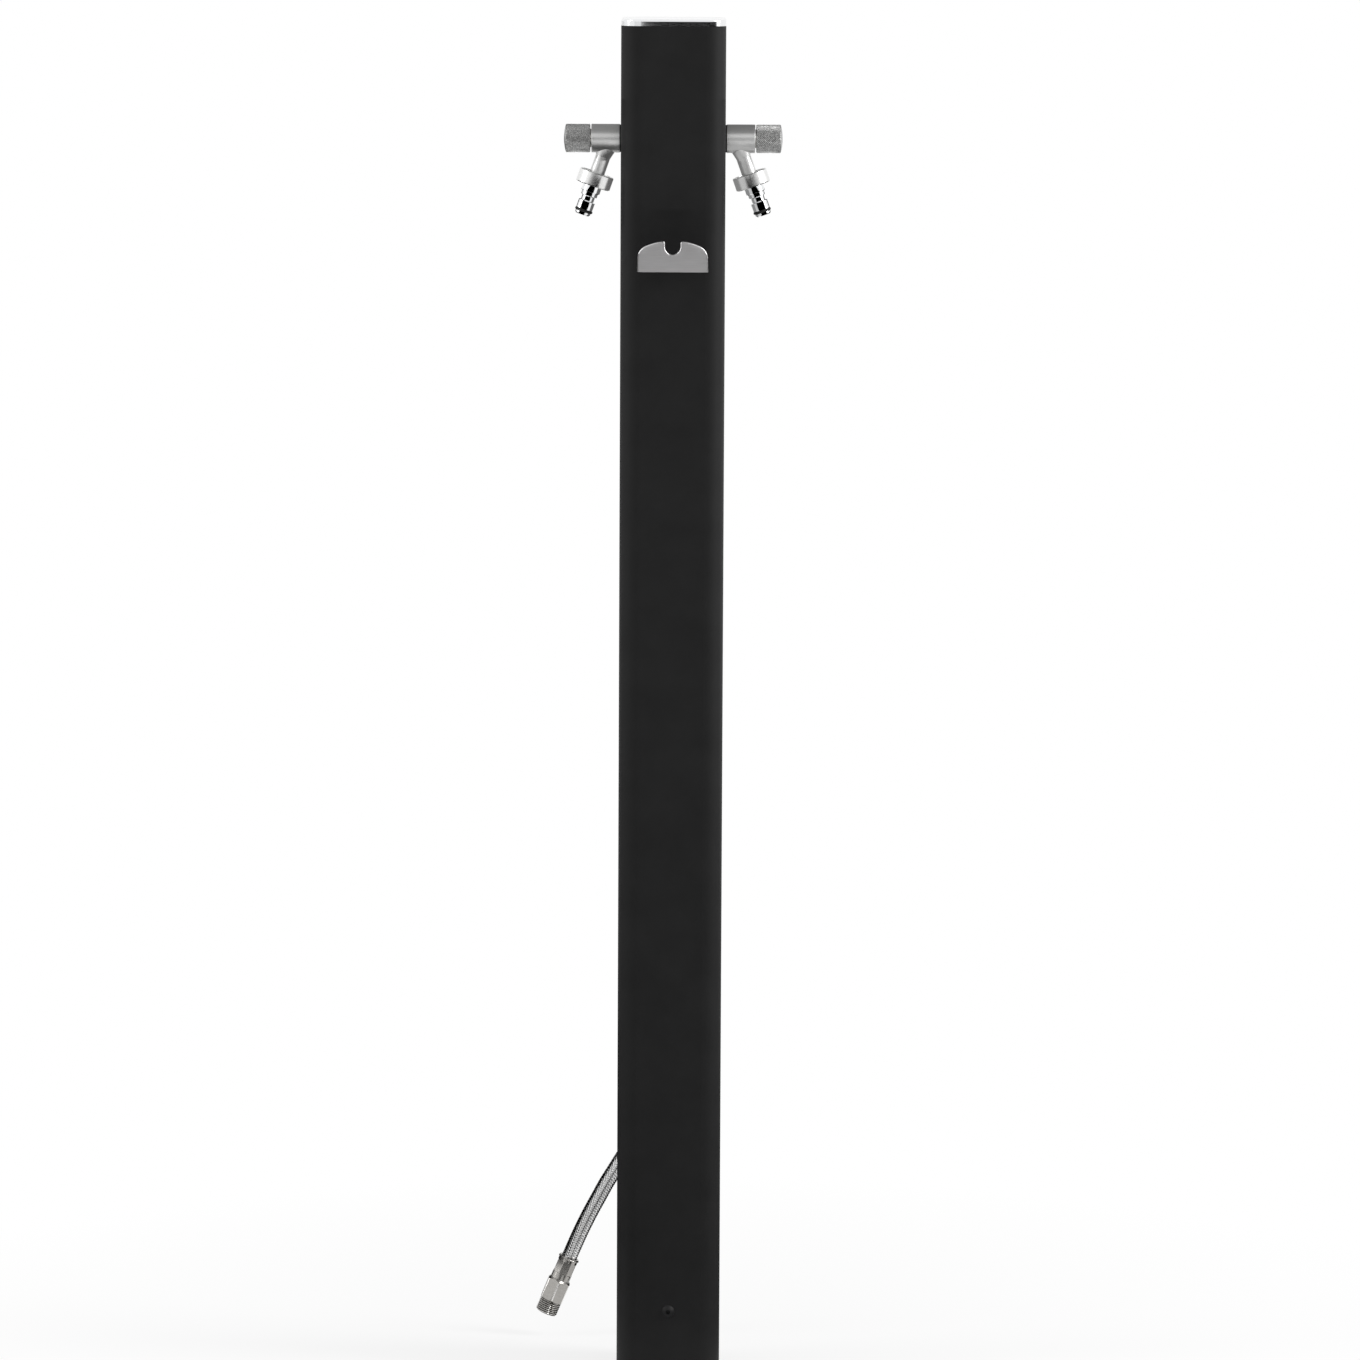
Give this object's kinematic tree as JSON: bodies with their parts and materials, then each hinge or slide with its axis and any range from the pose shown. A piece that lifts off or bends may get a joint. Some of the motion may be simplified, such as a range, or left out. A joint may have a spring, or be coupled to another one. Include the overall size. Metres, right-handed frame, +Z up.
{
  "type": "garden standpipe",
  "caption": "Square black garden standpipe with a knurled quarter-turn tap on each side, quick-connect hose nipples, a notched hose hook and a braided supply hose.",
  "frame": {"origin": "middle of the foot's underside, on the ground", "axes": "+Z up along the column, +X to the right as seen from the front, front faces -Y"},
  "size_m": [0.225, 0.2261, 1.25],
  "materials": {
    "powder_black": "matte black powder coat on an aluminium extrusion",
    "cap_chrome": "polished chrome",
    "foot_aluminium": "dark coated cast aluminium",
    "screw_black": "black oxide steel",
    "hook_steel": "satin stainless steel",
    "tap_steel": "bead-blasted stainless steel",
    "knob_steel": "diamond-knurled stainless steel",
    "nut_steel": "satin turned steel",
    "chrome_plate": "polished chrome plate",
    "fitting_nickel": "nickel-plated brass",
    "hose_braid": "stainless steel wire braid over a rubber hose",
    "rubber_black": "black rubber",
    "fibre": "red vulcanised fibre",
    "brass": "machined brass",
    "spring_steel": "zinc-plated steel",
    "ceramic_white": "white ground ceramic"
  },
  "bodies": {
    "standpipe": {"column": "powder_black", "top_cap": "cap_chrome", "ground_socket": "foot_aluminium", "foot_screws": "screw_black", "hook_plate": "hook_steel", "hook_stem": "hook_steel", "hook_screw": "spring_steel", "hook_washer": "spring_steel", "inlet_tee": "brass", "hose_nut": "fitting_nickel", "hose_nut_washer": "fibre", "hose_tail": "fitting_nickel", "upper_ferrule": "fitting_nickel", "inner_hose": "hose_braid", "hose_grommet": "rubber_black", "supply_hose": "hose_braid", "lower_ferrule": "fitting_nickel", "hose_end": "fitting_nickel", "left_tap_body": "tap_steel", "left_wall_washer": "rubber_black", "left_tail_washer": "fibre", "left_seat_seal": "rubber_black", "left_cartridge": "fitting_nickel", "left_fixed_disc": "ceramic_white", "left_spout_nut": "nut_steel", "left_nipple_washer": "rubber_black", "left_hose_nipple": "chrome_plate", "left_nipple_o_ring": "rubber_black", "right_tap_body": "tap_steel", "right_wall_washer": "rubber_black", "right_tail_washer": "fibre", "right_seat_seal": "rubber_black", "right_cartridge": "fitting_nickel", "right_fixed_disc": "ceramic_white", "right_spout_nut": "nut_steel", "right_nipple_washer": "rubber_black", "right_hose_nipple": "chrome_plate", "right_nipple_o_ring": "rubber_black"},
    "left_tap_knob": {"left_turning_disc": "ceramic_white", "left_spindle": "brass", "left_spindle_o_ring": "rubber_black", "left_spindle_clip": "spring_steel", "left_knob": "knob_steel", "left_grub_screw": "spring_steel"},
    "right_tap_knob": {"right_turning_disc": "ceramic_white", "right_spindle": "brass", "right_spindle_o_ring": "rubber_black", "right_spindle_clip": "spring_steel", "right_knob": "knob_steel", "right_grub_screw": "spring_steel"}
  },
  "joints": [
    {"name": "left_tap_turn", "type": "hinge", "parent": "standpipe", "child": "left_tap_knob", "pos_m": [-0.0475, 0, 1.141], "axis": [-1, 0, 0], "range_deg": [0, 90]},
    {"name": "right_tap_turn", "type": "hinge", "parent": "standpipe", "child": "right_tap_knob", "pos_m": [0.0475, 0, 1.141], "axis": [1, 0, 0], "range_deg": [0, 90]}
  ]
}
